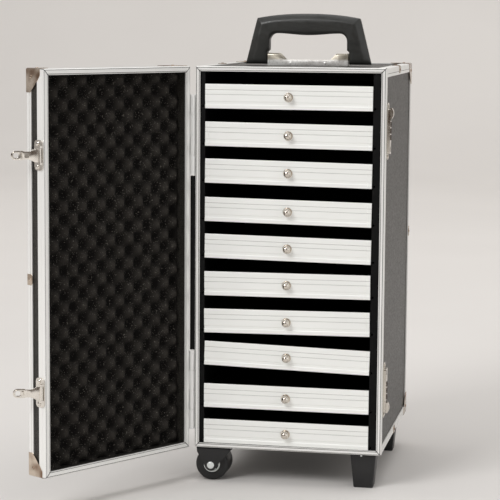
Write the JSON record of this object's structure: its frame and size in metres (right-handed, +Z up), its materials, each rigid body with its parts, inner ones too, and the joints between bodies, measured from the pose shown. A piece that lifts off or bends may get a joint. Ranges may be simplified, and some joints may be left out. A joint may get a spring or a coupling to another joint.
{
  "type": "makeup train case",
  "caption": "Upright aluminium-edged cosmetics case with a side-hinged locking door, a stack of slide-out drawers, a folding carry handle, wheels and feet.",
  "frame": {"origin": "centre of the bottom panel's underside", "axes": "+Z up, -Y out of the front towards the drawers' knobs, +X to the right as seen from the front; the door is hinged on the -X side"},
  "size_m": [0.4848, 0.5772, 0.6881],
  "materials": {
    "laminate": "pebbled black laminate over board",
    "frame_aluminium": "satin anodised extrusion",
    "drawer_aluminium": "white-silver anodised, reeded along its length",
    "runner_plastic": "matte black",
    "tray_plastic": "matte black",
    "foam": "open-cell egg-crate foam",
    "nickel": "bright nickel plate",
    "dial_metal": "satin nickel plate",
    "hinge_metal": "satin mill finish",
    "handle_plastic": "moulded, fine grain",
    "foot_plastic": "moulded, satin",
    "wheel_rubber": "smooth"
  },
  "bodies": {
    "case": {"left_panel": "laminate", "right_panel": "laminate", "top_panel": "laminate", "bottom_panel": "laminate", "back_panel": "laminate", "front_frame": "frame_aluminium", "edge_cage": "frame_aluminium", "left_runner": "runner_plastic", "right_runner": "runner_plastic", "hinge_leaf_case_upper": "hinge_metal", "hinge_leaf_case_lower": "hinge_metal", "hinge_side_seal": "runner_plastic", "lock_body_upper": "nickel", "lock_body_lower": "nickel", "handle_bracket": "nickel", "caster_housing_front": "foot_plastic", "caster_housing_rear": "foot_plastic", "foot_front": "foot_plastic", "foot_rear": "foot_plastic"},
    "door": {"door_rim": "frame_aluminium", "door_shell": "laminate", "door_edge_trim": "frame_aluminium", "door_foam": "foam", "hinge_leaf_door_upper": "hinge_metal", "hinge_leaf_door_lower": "hinge_metal", "hasp_plate_upper": "nickel", "hasp_plate_lower": "nickel"},
    "handle": {"handle_grip": "handle_plastic"},
    "drawer_01": {"drawer_tray_01": "tray_plastic", "drawer_front_01": "drawer_aluminium"},
    "drawer_02": {"drawer_tray_02": "tray_plastic", "drawer_front_02": "drawer_aluminium"},
    "drawer_03": {"drawer_tray_03": "tray_plastic", "drawer_front_03": "drawer_aluminium"},
    "drawer_04": {"drawer_tray_04": "tray_plastic", "drawer_front_04": "drawer_aluminium"},
    "drawer_05": {"drawer_tray_05": "tray_plastic", "drawer_front_05": "drawer_aluminium"},
    "drawer_06": {"drawer_tray_06": "tray_plastic", "drawer_front_06": "drawer_aluminium"},
    "drawer_07": {"drawer_tray_07": "tray_plastic", "drawer_front_07": "drawer_aluminium"},
    "drawer_08": {"drawer_tray_08": "tray_plastic", "drawer_front_08": "drawer_aluminium"},
    "drawer_09": {"drawer_tray_09": "tray_plastic", "drawer_front_09": "drawer_aluminium"},
    "drawer_10": {"drawer_tray_10": "tray_plastic", "drawer_front_10": "drawer_aluminium"},
    "hasp_upper": {"hasp_upper": "nickel"},
    "hasp_lower": {"hasp_lower": "nickel"},
    "lock_dial_upper_1": {"lock_dial_upper_1": "dial_metal"},
    "lock_dial_upper_2": {"lock_dial_upper_2": "dial_metal"},
    "lock_dial_upper_3": {"lock_dial_upper_3": "dial_metal"},
    "lock_dial_lower_1": {"lock_dial_lower_1": "dial_metal"},
    "lock_dial_lower_2": {"lock_dial_lower_2": "dial_metal"},
    "lock_dial_lower_3": {"lock_dial_lower_3": "dial_metal"},
    "lock_slide_upper": {"lock_slide_upper": "nickel"},
    "lock_slide_lower": {"lock_slide_lower": "nickel"},
    "wheel_front": {"wheel_front": "wheel_rubber"},
    "wheel_rear": {"wheel_rear": "wheel_rubber"}
  },
  "joints": [
    {"name": "door_hinge", "type": "hinge", "parent": "case", "child": "door", "pos_m": [-0.1423, -0.16525, 0.28], "axis": [0, 0, -1], "range_deg": [-122.6, 57.4]},
    {"name": "drawer_01_slide", "type": "slide", "parent": "case", "child": "drawer_01", "axis": [0, -1, 0], "range_m": [0, 0.22]},
    {"name": "drawer_02_slide", "type": "slide", "parent": "case", "child": "drawer_02", "axis": [0, -1, 0], "range_m": [0, 0.22]},
    {"name": "drawer_03_slide", "type": "slide", "parent": "case", "child": "drawer_03", "axis": [0, -1, 0], "range_m": [0, 0.22]},
    {"name": "drawer_04_slide", "type": "slide", "parent": "case", "child": "drawer_04", "axis": [0, -1, 0], "range_m": [0, 0.22]},
    {"name": "drawer_05_slide", "type": "slide", "parent": "case", "child": "drawer_05", "axis": [0, -1, 0], "range_m": [0, 0.22]},
    {"name": "drawer_06_slide", "type": "slide", "parent": "case", "child": "drawer_06", "axis": [0, -1, 0], "range_m": [0, 0.22]},
    {"name": "drawer_07_slide", "type": "slide", "parent": "case", "child": "drawer_07", "axis": [0, -1, 0], "range_m": [0, 0.22]},
    {"name": "drawer_08_slide", "type": "slide", "parent": "case", "child": "drawer_08", "axis": [0, -1, 0], "range_m": [0, 0.22]},
    {"name": "drawer_09_slide", "type": "slide", "parent": "case", "child": "drawer_09", "axis": [0, -1, 0], "range_m": [0, 0.22]},
    {"name": "drawer_10_slide", "type": "slide", "parent": "case", "child": "drawer_10", "axis": [0, -1, 0], "range_m": [0, 0.22]},
    {"name": "hasp_upper_hinge", "type": "hinge", "parent": "door", "child": "hasp_upper", "pos_m": [-0.2988, -0.40393, 0.4422], "axis": [0, 0, -1], "range_deg": [-135, 20]},
    {"name": "hasp_lower_hinge", "type": "hinge", "parent": "door", "child": "hasp_lower", "pos_m": [-0.2988, -0.40393, 0.1175], "axis": [0, 0, -1], "range_deg": [-135, 20]},
    {"name": "lock_dial_upper_1_turn", "type": "hinge", "parent": "case", "child": "lock_dial_upper_1", "pos_m": [0.1412, -0.142, 0.459], "axis": [0, 0, 1], "continuous": true},
    {"name": "lock_dial_upper_2_turn", "type": "hinge", "parent": "case", "child": "lock_dial_upper_2", "pos_m": [0.1412, -0.142, 0.4684], "axis": [0, 0, 1], "continuous": true},
    {"name": "lock_dial_upper_3_turn", "type": "hinge", "parent": "case", "child": "lock_dial_upper_3", "pos_m": [0.1412, -0.142, 0.4778], "axis": [0, 0, 1], "continuous": true},
    {"name": "lock_dial_lower_1_turn", "type": "hinge", "parent": "case", "child": "lock_dial_lower_1", "pos_m": [0.1412, -0.142, 0.1007], "axis": [0, 0, 1], "continuous": true},
    {"name": "lock_dial_lower_2_turn", "type": "hinge", "parent": "case", "child": "lock_dial_lower_2", "pos_m": [0.1412, -0.142, 0.0913], "axis": [0, 0, 1], "continuous": true},
    {"name": "lock_dial_lower_3_turn", "type": "hinge", "parent": "case", "child": "lock_dial_lower_3", "pos_m": [0.1412, -0.142, 0.0819], "axis": [0, 0, 1], "continuous": true},
    {"name": "lock_slide_upper_push", "type": "slide", "parent": "case", "child": "lock_slide_upper", "axis": [0, 0, -1], "range_m": [0, 0.003], "stiffness_N_per_m": 300},
    {"name": "lock_slide_lower_push", "type": "slide", "parent": "case", "child": "lock_slide_lower", "axis": [0, 0, 1], "range_m": [0, 0.003], "stiffness_N_per_m": 300},
    {"name": "handle_fold", "type": "hinge", "parent": "case", "child": "handle", "pos_m": [0, 0, 0.5672], "axis": [1, 0, 0], "range_deg": [-80, 80]},
    {"name": "wheel_front_spin", "type": "hinge", "parent": "case", "child": "wheel_front", "pos_m": [-0.1146, -0.1324, -0.029], "axis": [0, 1, 0], "continuous": true},
    {"name": "wheel_rear_spin", "type": "hinge", "parent": "case", "child": "wheel_rear", "pos_m": [-0.1146, 0.1324, -0.029], "axis": [0, 1, 0], "continuous": true}
  ]
}
